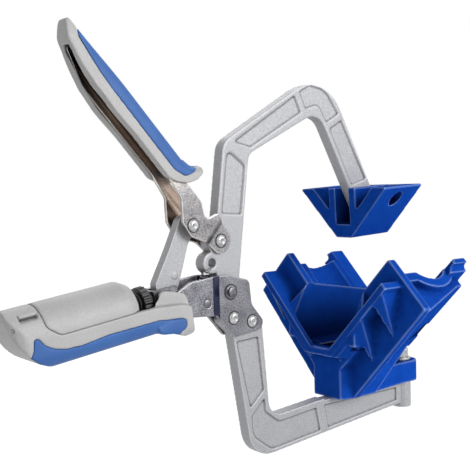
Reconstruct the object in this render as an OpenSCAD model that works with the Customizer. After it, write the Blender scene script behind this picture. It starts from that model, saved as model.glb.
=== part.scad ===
// Hand-held corner clamp: a cast frame with a 90 degree vee jaw below, a pivoting
// wedge pad above, and an over-centre toggle with a sliding, sprung plunger.
// Origin: where the outer edge of the work meets the bottom of the vee, at the
// middle of the jaw. +X runs along the vee away from the grips, +Z opens the vee.

/* [Vee jaw] */
// Length of the jaw along the vee
jaw_l = 79; // [70:1:95]
// Half width of the vee between its front tips
vee_half = 56; // [50:1:64]
// Thickness of the front skin of each wing
skin_t = 5; // [4:0.5:7]
// Distance from the front rim to the tall rib
tall_rib_x = 15.5; // [13:0.5:20]
// Thickness of the tall rib
tall_rib_t = 6; // [5:0.5:8]
// Height of the tall rib above the front skin, square to it
tall_rib_up = 15; // [11:0.5:17]
// Depth of the tall rib below the front skin, at the keel
tall_rib_down = 29; // [26:0.5:33]
// Depth of the tall rib at its outer end
tall_rib_end = 26.5; // [24:0.5:30]
// Length of the rear rib along the vee
rear_rib_l = 11; // [8:0.5:14]
// Height of the rear rib above the front skin
rear_rib_up = 6.5; // [4:0.5:8]
// Half width of the open trough
trough_half = 27.5; // [25:0.5:30]
// Fall of the trough's walls from the tall rib to the rear rib
rail_drop = 9.4; // [7:0.2:12]
// Floor of the trough above the corner of the work
trough_floor = 9; // [7:0.5:12]
// Depth of the jaw's seat below the corner of the work
seat_drop = 25.5; // [24:0.5:32]
// Distance of the jaw screw behind the corner of the work
screw_x = 40.5; // [38:0.5:46]
// Height of the screw lug
lug_h = 15; // [12:0.5:17]
// Diameter of the jaw screw
screw_d = 6; // [5:1:8]

/* [Wedge pad] */
// Width of the pad over its top edges
pad_w = 81; // [70:1:95]
// Length of the pad along the vee
pad_l = 36; // [32:1:48]
// Width of the pad's flat nose
pad_nose = 14; // [10:1:20]
// Thickness of the pad's sloping walls, measured level
pad_wall = 13; // [9:0.5:16]
// Width of the slot for the arm
pad_slot = 13; // [12:0.5:16]
// Tilt of the pad at rest, rising away from the grips
pad_tilt = 3; // [0:0.5:6]
// Depth of the pad's pivot below its top
pad_pivot_drop = 8.5; // [7:0.5:11]
// Diameter of the pad's pivot pin
pad_pin_d = 6; // [5:0.5:8]
// Diameter of the pin's access holes
pad_hole_d = 9; // [8:0.5:11]

/* [Cast arms] */
// Thickness of the cast arms
arm_t = 9; // [8:0.5:12]
// Depth of the panels sunk into the arms
panel_depth = 1.2; // [0.6:0.1:2]
// Height of the pad's pivot above the corner of the work at rest
pad_pivot_z = 106.5; // [100:0.5:120]
// Distance of the pad's pivot along the vee from the corner of the work at rest
pad_pivot_x = 2; // [-2:0.5:8]
// Width of the upper arm's leg
upper_leg_w = 18.5; // [16:0.5:22]

/* [Body and pivots] */
// Distance of the main pivot from the corner of the work
pivot_x = 117; // [112:1:126]
// Height of the main pivot above the corner of the work
pivot_z = 54; // [52:0.5:58]
// Thickness of the stamped steel plates
sheet_t = 2.2; // [1.8:0.1:3]
// Outside width of the plates where they widen for the grips
channel_w = 19; // [18:0.5:24]
// Diameter of the main pivot pin
pivot_d = 7; // [6:0.5:8]
// Diameter of the rivets and link pins
rivet_d = 5; // [4:0.5:6]
// Diameter of the rivet heads
rivet_head_d = 7.5; // [6.5:0.5:9]
// Running clearance of a pin in its bore, measured radially
pin_clear = 0.05; // [0.02:0.01:0.08]
// Side clearance between moving flat faces
side_clear = 0.15; // [0.1:0.05:0.3]

/* [Lever and link] */
// Height of the lever pin above the main pivot
lever_pin_up = 31; // [29:0.5:33]
// Distance of the link pin from the lever pin
crank = 23.8; // [22:0.2:26]
// Lean of the open lever from level
lever_lean = 48.4; // [46:0.2:51]
// Length of the lever from its pin to its tip
lever_l = 154; // [146:1:170]
// Thickness of the toggle link
link_t = 6.5; // [5:0.5:8]
// Wall of the lever's grip beside the steel
lever_wall = 2.5; // [2:0.25:4]

/* [Lower grip and plunger] */
// Tilt of the lower grip, rising to the front
handle_tilt = 8; // [6:0.5:10]
// Distance of the link's foot behind the main pivot
foot_back = 45; // [42:0.5:47]
// Length of the lower grip from the link's foot to its rear end
handle_l = 97; // [92:1:110]
// Radius of the barrel cover
barrel_r = 16; // [15.5:0.5:18]
// Depth of the lower grip below the plunger's axis
handle_drop = 17.2; // [16.6:0.2:20]
// Radius of the hollow in the barrel
bore_r = 12; // [11.5:0.25:12.5]
// Diameter of the plunger's rod
rod_d = 6; // [5:0.5:8]
// Diameter of the pressure wheel
wheel_d = 19; // [17:0.5:21.5]
// Length of the pressure wheel
wheel_l = 7; // [6:0.5:8]
// Number of notches round the pressure wheel
wheel_notches = 20; // [14:2:28]
// Wire of the main spring
spring_wire = 1.2; // [1:0.1:1.5]
// Outside radius of the main spring
spring_r = 6.5; // [5.5:0.25:8]
// Wire of the return spring
return_wire = 1; // [0.8:0.1:1.2]

/* [Hidden] */
$fn = 48;

// Pivots, each as [x, z]
A = [-pivot_x, pivot_z];
E = A + [-6.2, lever_pin_up];
D = E + crank * [cos(154.6), sin(154.6)];
F = [A.x - foot_back, pivot_z + 0.5];
P = [pad_pivot_x, pad_pivot_z];
rivet_b = A + [2, -16];
rivet_c = A + [16, -19.5];
spring_eye = A + [-11.3, 18];
spring_foot = A + [-19, -5];

// Shared sizes
root2 = sqrt(2);
upper_t = arm_t - 2 * side_clear;
front_half = arm_t / 2 + sheet_t;
rear_half = channel_w / 2;
channel_gap = channel_w - 2 * sheet_t;
jaw_x0 = -jaw_l / 2;
jaw_x1 = jaw_l / 2;
rib_x0 = jaw_x0 + tall_rib_x;
rib_x1 = rib_x0 + tall_rib_t;
wing_s = vee_half * root2;
seat_z = -seat_drop;
pivot_end_r = 9.3;
head_h = 1.8;

// Colours
casting = [0.72, 0.74, 0.76];
steel = [0.55, 0.56, 0.58];
blue = [0.12, 0.33, 0.75];
grip_grey = [0.68, 0.69, 0.71];
black = [0.1, 0.1, 0.11];
bright = [0.8, 0.81, 0.83];

// Points of one rounded corner: p between a and b, radius r, n steps
function unit(v) = v / norm(v);
function corner(p, a, b, r, n) =
    r == 0 ? [p] :
    let (
        u = unit(a - p),
        v = unit(b - p),
        half = acos(u * v) / 2,
        c = p + unit(u + v) * r / sin(half),
        s = p + u * r / tan(half) - c,
        e = p + v * r / tan(half) - c,
        a0 = atan2(s.y, s.x),
        turn = (atan2(e.y, e.x) - a0 + 540) % 360 - 180
    )
    [for (i = [0 : n]) c + r * [cos(a0 + turn * i / n), sin(a0 + turn * i / n)]];

// Outline from corners given as [x, y, radius]
function rounded(c, n = 6) =
    let (m = len(c), q = [for (k = c) [k[0], k[1]]])
    [for (i = [0 : m - 1]) each corner(q[i], q[(i + m - 1) % m], q[(i + 1) % m], c[i][2], n)];

// Flat piece in the X-Z plane, centred on Y
module slab(t) {
    rotate([90, 0, 0])
        linear_extrude(height = t, center = true)
            children();
}

// Round pin across the frame at p = [x, z]
module across(p, d, l) {
    translate([p.x, 0, p.y])
        rotate([90, 0, 0])
            cylinder(d = d, h = l, center = true);
}

// Headed rivet across the frame
module rivet(p, d, grip, head_d) {
    across(p, d, grip);
    for (side = [-1, 1])
        translate([p.x, side * grip / 2, p.y])
            rotate([-90 * side, 0, 0])
                cylinder(d1 = head_d, d2 = head_d * 0.7, h = head_h);
}

// Frames of the two grips: X along the grip, Z square to it
module handle_frame() {
    translate([F.x, 0, F.y])
        rotate([0, -handle_tilt, 0])
            children();
}

module lever_frame() {
    translate([E.x, 0, E.y])
        rotate([0, lever_lean - 180, 0])
            children();
}

// Wire swept along a list of points with six sides
function ring(p, t, r) =
    let (u = unit(cross(t, abs(t.y) < 0.9 ? [0, 1, 0] : [1, 0, 0])), v = unit(cross(t, u)))
    [for (k = [0 : 5]) p + r * (cos(60 * k) * u + sin(60 * k) * v)];

module wire(path, r) {
    m = len(path);
    rings = [for (i = [0 : m - 1])
        each ring(path[i], unit(path[min(i + 1, m - 1)] - path[max(i - 1, 0)]), r)];
    sides = [for (i = [0 : m - 2], k = [0 : 5])
        [6 * i + k, 6 * i + (k + 1) % 6, 6 * i + 6 + (k + 1) % 6, 6 * i + 6 + k]];
    ends = [[for (k = [5 : -1 : 0]) k], [for (k = [0 : 5]) 6 * (m - 1) + k]];
    polyhedron(points = rings, faces = concat(sides, ends), convexity = 6);
}

// BODY: two stamped plates, stepped outwards behind the arms

plate_step_x = A.x - 11.7;
plate_rear_x = F.x - 5;

module plate_outline() {
    polygon(rounded([
        [A.x - 15, A.y + 10.5, 4], [A.x - 2, A.y + 10.4, 4], [A.x + 14.5, A.y + 6, 4],
        [A.x + 16, A.y - 9, 8], [A.x + 25, A.y - 20, 3], [A.x + 23, A.y - 25.5, 3],
        [A.x + 2, A.y - 28, 3], [A.x - 11, A.y - 13, 8], [A.x - 30, A.y - 12, 5],
        [plate_rear_x, F.y - 13, 2], [plate_rear_x, F.y - 2, 2], [A.x - 31, A.y + 8.5, 8]
    ]));
}

// Plan of one plate: flat at the arms, stepped out to the grips
module plate_plan() {
    y0 = arm_t / 2;
    y1 = rear_half - sheet_t;
    polygon([
        [A.x + 40, y0], [A.x + 40, y0 + sheet_t], [plate_step_x + 3, y0 + sheet_t],
        [plate_step_x - 3, y1 + sheet_t], [plate_rear_x - 10, y1 + sheet_t], [plate_rear_x - 10, y1],
        [plate_step_x - 4, y1], [plate_step_x + 2, y0]
    ]);
}

module body_plate() {
    difference() {
        intersection() {
            slab(4 * channel_w) plate_outline();
            translate([0, 0, A.y - 60])
                linear_extrude(height = 120) plate_plan();
        }
        across(A, pivot_d + 2 * pin_clear, 4 * channel_w);
        for (p = [rivet_b, rivet_c, spring_foot])
            across(p, rivet_d + 2 * pin_clear, 4 * channel_w);
    }
}

module body_plate_near() {
    color(steel) mirror([0, 1, 0]) body_plate();
}

module body_plate_far() {
    color(steel) body_plate();
}

module frame_rivets() {
    color(bright)
        for (p = [rivet_b, rivet_c])
            rivet(p, rivet_d, 2 * front_half, rivet_head_d);
}

// Main pivot: a pin with a thin collar and a stub that stands proud at each end
module pivot_pin() {
    stub = 2.6;
    color(bright) {
        across(A, pivot_d, 2 * front_half);
        across(A, pivot_d - 1, 2 * (front_half + stub));
        for (side = [-1, 1])
            translate([A.x, side * (front_half + 0.3), A.y])
                rotate([90, 0, 0])
                    cylinder(d = pivot_d + 1.6, h = 0.6, center = true);
    }
}

module spring_anchor() {
    color(bright) rivet(spring_foot, rivet_d, 2 * rear_half, rivet_head_d - 1);
}

// LOWER ARM: an L in cast metal, riveted between the plates

lower_corner = [-101, -53];
spine_w = 17.5;
leg_x1 = screw_x;
boss_d = screw_d + 7.5;
boss_l = 18.5;

module lower_outline() {
    difference() {
        union() {
            polygon(rounded([
                [A.x + 25.5, A.y - 22, 3], [-86.7, -28.6, 10], [jaw_x0 - 1, seat_z + 0.8, 0.5],
                [jaw_x0, seat_z, 0], [leg_x1, seat_z, 0], [leg_x1, -40, 0],
                [lower_corner.x, lower_corner.y, 17], [A.x + 2.5, A.y - 26, 3],
                [A.x - 6, A.y - 18, 3], [A.x - 1, A.y - 9, 0], [A.x + 14, A.y - 9, 4]
            ]));
        }
        translate(A) circle(r = pivot_end_r + 0.7);
    }
}

// Sunk panels of the lower arm
module lower_panels() {
    polygon(rounded([
        [A.x + 5, A.y - 31, 1.5], [-94.6, A.y - 30, 1.5], [-91, -10, 1], [-102.3, -20, 1]
    ]));
    polygon(rounded([
        [-90.6, -15, 1], [-89.8, -24, 2], [-79, -32.2, 8], [-47, -29.3, 1], [-43.5, -45.2, 1],
        [-86, -49.2, 8], [-101, -38, 10], [-101.5, -25, 1]
    ]));
    polygon(rounded([
        [-40, -28.6, 1], [leg_x1 - boss_d / 2 - 3, -28.6, 1], [leg_x1 - boss_d / 2 - 3, -38, 1],
        [-37, -44.6, 1]
    ]));
}

module lower_arm() {
    color(casting)
        difference() {
            union() {
                slab(arm_t) lower_outline();
                translate([screw_x, 0, seat_z - boss_l])
                    cylinder(d = boss_d, h = boss_l);
            }
            for (side = [-1, 1])
                translate([0, side * arm_t / 2, 0])
                    slab(2 * panel_depth) lower_panels();
            for (p = [rivet_b, rivet_c])
                across(p, rivet_d + 2 * pin_clear, 2 * arm_t);
            translate([screw_x, 0, seat_z - boss_l - 1])
                cylinder(d = screw_d + 2 * pin_clear, h = boss_l + 2);
        }
}

// VEE JAW: one casting, drawn upwards, so its webs and trough walls stand upright

// Turns [x, s, n] (along the vee, up the wing, square to it) into the far wing
module wing_frame() {
    rotate([45, 0, 0])
        children();
}

// Block of a wing between two stations along the vee
module wing_block(x0, x1, s0, s1, n0, n1) {
    wing_frame()
        translate([x0, s0, n0])
            cube([x1 - x0, s1 - s0, n1 - n0]);
}

function wing_yz(s, n) = [s - n, s + n] / root2;

// Prism of a wing from s0 to s1, its section drawn along the vee and square to the wing
module wing_prism(s0, s1) {
    wing_frame()
        translate([0, s1, 0])
            rotate([90, 0, 0])
                linear_extrude(height = s1 - s0) children();
}

keel_half = tall_rib_down * root2 + seat_z;
keel_x0 = jaw_x0 + 5.5;
tall_s = wing_s + 3.5;
rear_s = wing_s + 8;
rim_t = 4;
web_half = 4.8;
wedge_tail = 6.5;
face_t = 7;
bump_up = 5.5;
scallop_r = 17;
scallop_x = 11;
scallop_drop = 1.5;
rail_t = 4;
rail_z = trough_half + tall_rib_up * root2 - 0.5;
box_n = 13;
trough_z = trough_floor - 16;

// One side of the tall rib, seen along the vee
module tall_rib_half() {
    outer = wing_yz(tall_s, -tall_rib_end);
    peak = wing_yz(tall_s, tall_rib_up);
    polygon(rounded([
        [0, seat_z, 0], [keel_half, seat_z, 0], [outer.x, outer.y, 1.5], [peak.x, peak.y, 1.5],
        [0, tall_rib_up * root2, 0]
    ]));
}

// Open trough along the vee, with upright walls and a slot down into the keel
module trough() {
    front = jaw_x0 + rim_t;
    slot_half = 9.4;
    translate([front, -trough_half, trough_floor])
        cube([jaw_x1 - front + 1, 2 * trough_half, vee_half + 40]);
    translate([keel_x0 + 3, -slot_half, trough_z])
        cube([rib_x1 + 30 - keel_x0, 2 * slot_half, trough_floor - trough_z + 1]);
}

// Section of the scalloped face: a flat bump, then a hollow of even thickness
module scallop_section() {
    x_end = jaw_x1 - rear_rib_l / 2;
    hollow = [scallop_x, scallop_r - scallop_drop];
    difference() {
        intersection() {
            union() {
                translate(hollow) circle(r = scallop_r + face_t);
                translate([rib_x1 - 1, bump_up - face_t])
                    square([scallop_x - rib_x1, 2 * face_t]);
            }
            translate([rib_x1 - 1, -3 * face_t])
                square([x_end - rib_x1 + 1, 3 * face_t + bump_up]);
        }
        translate(hollow) circle(r = scallop_r);
    }
}

// Far half of the jaw above its keel
module wing() {
    // front skin and rim
    wing_block(jaw_x0, rib_x0 + 1, -skin_t / 2, wing_s, -skin_t, 0);
    // wedge under the scalloped face, thinning to the rear end
    wing_prism(0, wing_s - 6)
        polygon([
            [rib_x1 - 1, -tall_rib_end + 0.6], [rib_x1 - 1, bump_up - 5], [scallop_x, -scallop_drop - 2],
            [jaw_x1 - 0.7, -2.2], [jaw_x1 - 0.7, -wedge_tail], [jaw_x1 - rear_rib_l / 2, -wedge_tail]
        ]);
    wing_prism(0, wing_s) scallop_section();
    // rear rib with a sloping front face and a notched stub past the wing's end
    difference() {
        wing_prism(0, rear_s)
            polygon([
                [jaw_x1 - rear_rib_l - 6, -scallop_drop], [jaw_x1 - rear_rib_l, rear_rib_up],
                [jaw_x1, rear_rib_up], [jaw_x1, -scallop_drop]
            ]);
        wing_frame()
            translate([jaw_x0, rear_s - 1.5, 1 - scallop_drop])
                rotate([0, 90, 0])
                    cylinder(r = 3, h = 2 * jaw_l);
    }
    // webs behind the front skin, narrowing to the tall rib's lower edge
    intersection() {
        wing_prism(0, wing_s)
            polygon([
                [jaw_x0 + 1, -3.5], [rib_x0 + 1, -3.5], [rib_x0 + 1, 2.4 - tall_rib_end], [jaw_x0 + 1, -skin_t - 0.6]
            ]);
        translate([jaw_x0, 0, 0])
            rotate([90, 0, 90])
                linear_extrude(height = jaw_l)
                    for (y = [0.62 * vee_half, 0.94 * vee_half])
                        polygon([
                            [y - web_half, y - web_half - 2], [y - 1, y + 1 - tall_rib_end * root2],
                            [y + web_half, y + web_half - 2]
                        ]);
    }
    // ramp from the rim up to the tall rib, beside the trough
    ramp_h = (tall_rib_up * root2 - 0.6) * cos(30);
    translate([0, trough_half, trough_half])
        rotate([30, 0, 0])
            translate([0, 10, 0])
                rotate([90, 0, 0])
                    linear_extrude(height = 16)
                        polygon([
                            [jaw_x0 + rim_t + 0.2, -3], [rib_x0 + 1, -3], [rib_x0 + 1, ramp_h],
                            [rib_x0 - 1, ramp_h], [jaw_x0 + rim_t + 0.2, 1.5]
                        ]);
    // walls of the trough before and behind the tall rib
    translate([0, trough_half + rail_t, 0])
        rotate([90, 0, 0])
            linear_extrude(height = rail_t + 1) {
                polygon([
                    [rib_x1 - 1, trough_half - 13.5], [jaw_x1 - 0.9, trough_half - 3],
                    [jaw_x1 - 0.9, rail_z - rail_drop], [rib_x1 - 1, rail_z]
                ]);
                polygon([
                    [jaw_x0 + 1.2, trough_half - 15], [rib_x0 + 1, trough_half - 15],
                    [rib_x0 + 1, trough_half - 1], [jaw_x0 + 1.2, trough_half - 1]
                ]);
            }
}

// Sloping bottom of the trough on the far side, before and behind the tall rib
module trough_bottom() {
    wing_prism(1 - box_n, trough_half * root2 - box_n + 3)
        polygon([
            [jaw_x0 + 0.8, -1], [jaw_x0 + 0.8, -skin_t - 3], [jaw_x0 + 7, -box_n], [rib_x0 + 1, -box_n],
            [rib_x0 + 1, 2 - box_n], [jaw_x0 + 8, 2 - box_n], [jaw_x0 + rim_t, -skin_t - 2], [jaw_x0 + rim_t, -1]
        ]);
    wing_prism(-3, trough_half * root2 + 1)
        polygon([
            [rib_x1 - 1, 1.1 - tall_rib_end], [rib_x1 - 1, 5.6 - tall_rib_end], [jaw_x1 - 1.4, 4 - wedge_tail],
            [jaw_x1 - 1.4, 0.5 - wedge_tail], [jaw_x1 - rear_rib_l / 2, 0.5 - wedge_tail]
        ]);
}

// Keel block, wider at the tall rib, and the screw lug behind it
lug_r = screw_d + 3;
lug_x = screw_x + 3;

module keel() {
    front_half_w = 12.5;
    translate([0, 0, seat_z])
        linear_extrude(height = trough_floor - seat_z)
            polygon([
                [keel_x0, -front_half_w], [rib_x0 + 1, -keel_half], [rib_x0 + 1, keel_half],
                [keel_x0, front_half_w]
            ]);
    // flat lip under the front rim
    translate([jaw_x0 + 0.5, -trough_floor, trough_floor - 6])
        cube([keel_x0 - jaw_x0 + 1, 2 * trough_floor, 6]);
    // middle of the casting, rising to the rear under the trough
    translate([0, keel_half, 0])
        rotate([90, 0, 0])
            linear_extrude(height = 2 * keel_half)
                polygon([
                    [rib_x1 - 1, seat_z], [rib_x1 + 16, seat_z], [jaw_x1 - 8, trough_floor - 6],
                    [jaw_x1 - 8, trough_floor], [rib_x1 - 1, trough_floor]
                ]);
    translate([0, 0, seat_z])
        linear_extrude(height = lug_h) {
            polygon([
                [rib_x1 - 1, -keel_half], [lug_x - 14, -lug_r], [lug_x, -lug_r],
                [lug_x, lug_r], [lug_x - 14, lug_r], [rib_x1 - 1, keel_half]
            ]);
            translate([lug_x, 0]) circle(r = lug_r);
        }
}

module corner_jaw() {
    color(blue)
        difference() {
            union() {
                difference() {
                    union() {
                        for (side = [0, 1])
                            mirror([0, side, 0]) {
                                wing();
                                translate([rib_x0, 0, 0])
                                    rotate([90, 0, 90])
                                        linear_extrude(height = tall_rib_t) tall_rib_half();
                            }
                        keel();
                    }
                    trough();
                }
                for (side = [0, 1])
                    mirror([0, side, 0]) trough_bottom();
            }
            // nothing hangs below the seat, nor below the lip before the keel
            translate([jaw_x0 - 1, -2 * vee_half, seat_z - 60])
                cube([jaw_l + 2, 4 * vee_half, 60]);
            translate([jaw_x0 - 1, -trough_half, seat_z - 1])
                cube([keel_x0 - jaw_x0 + 1.7, 2 * trough_half, trough_floor - 5.5 - seat_z + 1]);
            // room for the screw's head and the bore
            translate([screw_x, 0, seat_z + lug_h])
                cylinder(r = lug_r + 1, h = vee_half);
            translate([screw_x, 0, seat_z - 1])
                cylinder(d = screw_d + 2 * pin_clear, h = lug_h + 2);
        }
}

washer_t = 2;
head_d = screw_d * 1.75;

module jaw_washer() {
    color(bright)
        translate([screw_x, 0, seat_z + lug_h])
            difference() {
                cylinder(d = head_d + 3, h = washer_t);
                translate([0, 0, -1])
                    cylinder(d = screw_d + 2 * pin_clear, h = washer_t + 2);
            }
}

module jaw_screw() {
    head_z = seat_z + lug_h + washer_t;
    color(steel)
        difference() {
            union() {
                translate([screw_x, 0, head_z]) {
                    cylinder(d = head_d, h = screw_d);
                    translate([0, 0, screw_d])
                        cylinder(d1 = head_d, d2 = head_d - 2, h = 1);
                }
                translate([screw_x, 0, seat_z - boss_l + 1])
                    cylinder(d = screw_d, h = head_z - seat_z + boss_l - 1);
            }
            translate([screw_x, 0, head_z + screw_d / 2])
                cylinder(d = screw_d, h = screw_d, $fn = 6);
        }
}

// UPPER ARM: cast, from the main pivot over the work to the pad

leg_dir = [0.476, -0.88];
leg_side = [0.88, 0.476];

module upper_outline() {
    leg_out = P + leg_side * upper_leg_w / 2;
    leg_in = P - leg_side * upper_leg_w / 2;
    polygon(rounded([
        [A.x - 6, A.y - 4, 0], [A.x + 8, A.y + 1, 2], [A.x + 18.6, A.y + 82.6, 7],
        [leg_in.x - leg_dir.x * 71, leg_in.y - leg_dir.y * 71, 12], [leg_in.x, leg_in.y, 0],
        [leg_out.x, leg_out.y, 0], [leg_out.x - leg_dir.x * 92.5, leg_out.y - leg_dir.y * 92.5, 28],
        [A.x - 0.8, A.y + 89.8, 12], [A.x - 6.6, A.y + 46, 4], [A.x - 10, A.y + 26, 0]
    ]));
    translate(P) circle(d = upper_leg_w);
    translate(A) circle(r = pivot_end_r);
    translate(E) circle(r = 8);
    translate(spring_eye) circle(r = 6.5);
}

// Sunk panels of the upper arm
module upper_panels() {
    polygon(rounded([
        [A.x - 3.3, A.y + 47, 1], [A.x + 11.5, A.y + 46, 1], [A.x + 15.5, A.y + 76, 3],
        [A.x + 2, A.y + 86, 3]
    ]));
    polygon(rounded([
        [A.x + 7, A.y + 90, 1], [A.x + 20, A.y + 86.8, 1], [A.x + 62, A.y + 109.4, 1],
        [A.x + 57, A.y + 120, 1]
    ]));
    polygon(rounded([
        [A.x + 61, A.y + 122.5, 1], [A.x + 66, A.y + 111.8, 1], [A.x + 77, A.y + 115, 5],
        [A.x + 84.5, A.y + 103.5, 1], [A.x + 95.5, A.y + 109.5, 1], [A.x + 84, A.y + 125, 14],
        [A.x + 70, A.y + 127.5, 4]
    ]));
    polygon(rounded([
        [A.x + 87, A.y + 99.5, 1], [A.x + 98, A.y + 105.5, 1], [P.x + 1.5, P.y + 13.5, 1],
        [P.x - 12.5, P.y + 9.5, 1]
    ]));
}

module upper_arm() {
    color(casting)
        difference() {
            slab(upper_t) upper_outline();
            for (side = [-1, 1])
                translate([0, side * upper_t / 2, 0])
                    slab(2 * panel_depth) upper_panels();
            across(A, pivot_d + 2 * pin_clear, 2 * arm_t);
            across(E, rivet_d + 2 * pin_clear, 2 * arm_t);
            across(P, pad_pin_d + 2 * pin_clear, 2 * arm_t);
            across(spring_eye, 5.6, 2 * arm_t);
        }
}

// WEDGE PAD: a hollow 90 degree wedge hung on a cross pin

pad_h = (pad_w - pad_nose) / 2;
pad_z0 = P.y + pad_pivot_drop - pad_h;
pad_x0 = P.x - pad_l / 2;
pad_floor = 9;
slot_wall = 6;

module pad_section() {
    polygon(rounded([
        [-pad_nose / 2, 0, 1], [pad_nose / 2, 0, 1], [pad_w / 2, pad_h, 0.8], [-pad_w / 2, pad_h, 0.8]
    ], 3));
}

// Hollow beside the slot, seen along the vee
module pad_pocket() {
    inner = pad_slot / 2 + slot_wall;
    outer = pad_w / 2 - pad_wall;
    polygon(rounded([
        [inner, pad_h + 1, 0], [inner, pad_h - (outer - inner), 1], [outer + 1, pad_h + 1, 0]
    ], 3));
}

module pad_prism(l) {
    rotate([90, 0, 90])
        linear_extrude(height = l) children();
}

// Turns the pad about its pin
module pad_frame() {
    translate([P.x, 0, P.y])
        rotate([0, -pad_tilt, 0])
            translate([-P.x, 0, -P.y])
                children();
}

module wedge_pad() {
    end_wall = 5;
    color(blue)
        difference() {
            pad_frame()
                difference() {
                    translate([pad_x0, 0, pad_z0])
                        pad_prism(pad_l) pad_section();
                    translate([pad_x0 - 1, -pad_slot / 2, pad_z0 + pad_floor])
                        cube([pad_l - end_wall + 1, pad_slot, pad_h]);
                    for (side = [0, 1])
                        mirror([0, side, 0])
                            translate([pad_x0 - 1, 0, pad_z0])
                                pad_prism(pad_l - end_wall + 1) pad_pocket();
                }
            across(P, pad_pin_d + 2 * pin_clear, pad_slot + 2 * slot_wall);
            for (side = [-1, 1])
                translate([P.x, side * (pad_slot / 2 + slot_wall), P.y])
                    rotate([-90 * side, 0, 0])
                        cylinder(d = pad_hole_d, h = pad_w);
        }
}

module pad_pin() {
    color(bright) across(P, pad_pin_d, pad_slot + 2 * slot_wall - 1);
}

// LEVER: stamped channel, narrowed at its pin, with a two-part grip.
// Lever frame: X up the lever, Z to its open side.

neck_x = 42;
lever_open_z = 2.2;
lever_back_z = 9.5;
lever_side = channel_w / 2;
lever_half = lever_side + lever_wall;
grip_back_z = lever_back_z + 2.9;
steel_end = lever_l - 12;

// Side outline of the lever's cheeks
module cheek_outline() {
    polygon(rounded([
        [-7.4, -7.4, 7.3], [15, -8.4, 1.5], [18, 0, 2.5], [22, -1, 3], [28, -4.4, 5],
        [neck_x + 2, -4.4, 3], [neck_x + 6, -lever_back_z, 2], [steel_end, -lever_back_z, 3],
        [steel_end, -lever_open_z - 2, 3], [lever_l - 34, lever_open_z, 25], [neck_x + 12, lever_open_z, 6],
        [neck_x - 3, 4.4, 5], [28, 13.5, 6], [18.5, 14.8, 5], [6, 8.2, 6], [-7, 6.5, 6]
    ]));
}

// Plan of one cheek, square to the line where it steps outwards
cheek_turn = 140;

module cheek_plan() {
    y0 = arm_t / 2;
    y1 = lever_side - sheet_t;
    polygon([
        [-20, y0], [-20, y0 + sheet_t], [6, y0 + sheet_t], [10, y1 + sheet_t],
        [lever_l + 40, y1 + sheet_t], [lever_l + 40, y1], [11, y1], [7, y0]
    ]);
}

module lever() {
    color(bright)
        difference() {
            union() {
                for (side = [0, 1])
                    mirror([0, side, 0])
                        intersection() {
                            lever_frame() slab(4 * channel_w) cheek_outline();
                            translate([E.x, 0, E.y])
                                rotate([0, -cheek_turn, 0])
                                    translate([0, 0, -lever_l])
                                        linear_extrude(height = 2 * lever_l) cheek_plan();
                        }
                // back of the channel inside the grip
                lever_frame()
                    translate([neck_x + 8, -lever_side + sheet_t / 2, -lever_back_z])
                        cube([steel_end - neck_x - 11, channel_w - sheet_t, sheet_t]);
            }
            across(E, rivet_d + 2 * pin_clear, 4 * channel_w);
            across(D, rivet_d + 2 * pin_clear, 4 * channel_w);
        }
}

// Side outline of the grip, flared to a hook at its lower end
module lever_grip_outline() {
    polygon(rounded([
        [lever_l - 2, -grip_back_z - 1, 4], [neck_x + 10, -grip_back_z - 1, 8], [neck_x + 4, -14.8, 5],
        [neck_x + 1, -19.2, 1.2], [neck_x - 2.4, -17.6, 2], [neck_x - 2.2, -10, 5], [neck_x + 0.6, -4.2, 6],
        [neck_x + 6.5, 1.2, 8], [neck_x + 12, 3.6, 4], [lever_l - 70, 3.4, 40], [lever_l - 35, 5, 14],
        [lever_l - 17, 0.2, 12], [lever_l - 7, -3, 8], [lever_l + 1.5, -10.2, 2.2]
    ]));
}

// Section of the grip, rounded along its back
module lever_grip_section(back) {
    polygon(rounded([
        [-lever_half, 8, 1.5], [-lever_half, -back, 8], [lever_half, -back, 8], [lever_half, 8, 1.5]
    ]));
}

module lever_grip_body() {
    intersection() {
        slab(4 * lever_half) lever_grip_outline();
        translate([0, 0, -40])
            linear_extrude(height = 80)
                polygon(rounded([
                    [neck_x - 8, -lever_half, 4], [lever_l + 2, -lever_half, 10.5], [lever_l + 2, lever_half, 10.5],
                    [neck_x - 8, lever_half, 4]
                ]));
        union() {
            translate([neck_x + 1, 0, 0])
                rotate([90, 0, 90])
                    linear_extrude(height = lever_l) lever_grip_section(grip_back_z);
            translate([neck_x - 10, 0, 0])
                rotate([90, 0, 90])
                    linear_extrude(height = 21) lever_grip_section(20);
        }
    }
}

// Space that the steel channel and the hand side take inside the grip
module lever_core() {
    translate([neck_x - 10, -lever_side, -lever_back_z])
        cube([steel_end - neck_x + 11, channel_w, 40]);
}

// Side region of the softer inlay along the back
module lever_inlay_region() {
    slab(8 * lever_half)
        polygon(rounded([
            [neck_x + 2.4, -40, 0], [neck_x + 2.4, -12, 6], [neck_x + 5, -5, 5], [neck_x + 13, -2.2, 8],
            [lever_l - 42, -2.4, 20], [lever_l - 30, -4, 12], [lever_l - 10, -8.9, 4], [lever_l - 7, -14, 0],
            [lever_l - 7, -40, 0]
        ]));
}

module lever_grip() {
    color(grip_grey)
        lever_frame()
            difference() {
                lever_grip_body();
                lever_core();
                lever_inlay_region();
            }
}

module lever_inlay() {
    color(blue)
        lever_frame()
            difference() {
                intersection() {
                    lever_grip_body();
                    lever_inlay_region();
                }
                lever_core();
            }
}

module lever_pin() {
    color(bright) rivet(E, rivet_d, 2 * front_half, rivet_head_d);
}

module link_pin() {
    color(bright) rivet(D, rivet_d, channel_w, rivet_head_d);
}

// LINK: cast strut from the lever down to the plunger

link_dir = unit(F - D);
link_len = norm(F - D);
foot_r = 4.8;
foot_pin_d = 4;
link_head_r = 6.2;

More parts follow.
